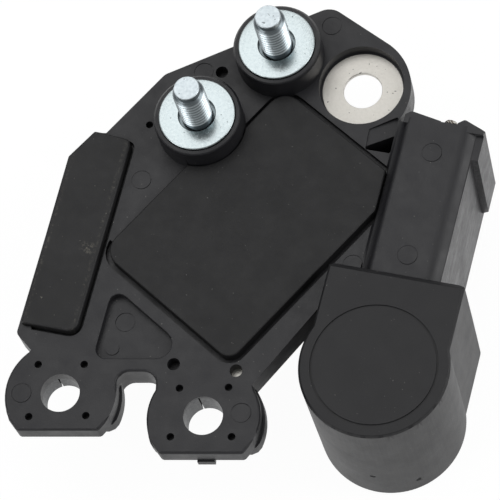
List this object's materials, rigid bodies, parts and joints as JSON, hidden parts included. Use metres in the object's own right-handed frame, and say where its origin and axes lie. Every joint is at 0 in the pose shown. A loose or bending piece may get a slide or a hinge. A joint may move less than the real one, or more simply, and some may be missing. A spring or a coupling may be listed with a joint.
{
  "type": "alternator voltage regulator",
  "caption": "Black moulded voltage regulator for an alternator, with flanged threaded studs, bushed mounting ears, and a long brush box that runs into a round slip ring cap.",
  "frame": {"origin": "axis of the right mounting ear where it meets the mounting face", "axes": "X across the mounting face, +Y from the slip ring cap along the brush box, +Z away from the alternator, along the studs"},
  "size_m": [0.0682, 0.0783, 0.0356],
  "materials": {
    "black_glass_filled_plastic": "satin",
    "lid_plastic": "matte",
    "cap_plastic": "matte",
    "zinc_plated_steel": "satin",
    "tin_plated_brass": "satin",
    "bushing_steel": "satin",
    "carbon_brush": "matte",
    "spring_steel": "bright",
    "copper_braid": "matte",
    "strip_brass": "satin",
    "heat_sink_aluminium": "satin",
    "alumina_ceramic": "matte",
    "chip_epoxy": "matte",
    "capacitor_case": "gloss",
    "silicone_gel": "gloss"
  },
  "bodies": {
    "housing": {"base_housing": "black_glass_filled_plastic", "electronics_lid": "lid_plastic", "side_lid": "lid_plastic", "left_stud": "zinc_plated_steel", "right_stud": "zinc_plated_steel", "ring_terminal": "tin_plated_brass", "left_ear_bushing": "bushing_steel", "right_ear_bushing": "bushing_steel", "slip_ring_cap": "cap_plastic", "brush_end_cover": "lid_plastic", "upper_brush_spring": "spring_steel", "lower_brush_spring": "spring_steel", "upper_brush_lead": "copper_braid", "lower_brush_lead": "copper_braid", "upper_brush_strip": "strip_brass", "lower_brush_strip": "strip_brass", "left_stud_strip": "strip_brass", "right_stud_strip": "strip_brass", "ground_strip": "strip_brass", "heat_sink": "heat_sink_aluminium", "circuit_substrate": "alumina_ceramic", "regulator_chip": "chip_epoxy", "power_transistor": "chip_epoxy", "freewheel_diode": "chip_epoxy", "suppression_capacitor": "capacitor_case", "potting_gel": "silicone_gel"},
    "upper_brush": {"upper_brush": "carbon_brush"},
    "lower_brush": {"lower_brush": "carbon_brush"}
  },
  "joints": [
    {"name": "upper_brush_slide", "type": "slide", "parent": "housing", "child": "upper_brush", "axis": [0, 1, 0], "range_m": [0, 0.009], "stiffness_N_per_m": 250, "springref_m": -0.008, "deforming": ["upper_brush_spring", "upper_brush_lead"]},
    {"name": "lower_brush_slide", "type": "slide", "parent": "housing", "child": "lower_brush", "axis": [0, 1, 0], "range_m": [0, 0.009], "stiffness_N_per_m": 250, "springref_m": -0.008, "deforming": ["lower_brush_spring", "lower_brush_lead"]}
  ]
}
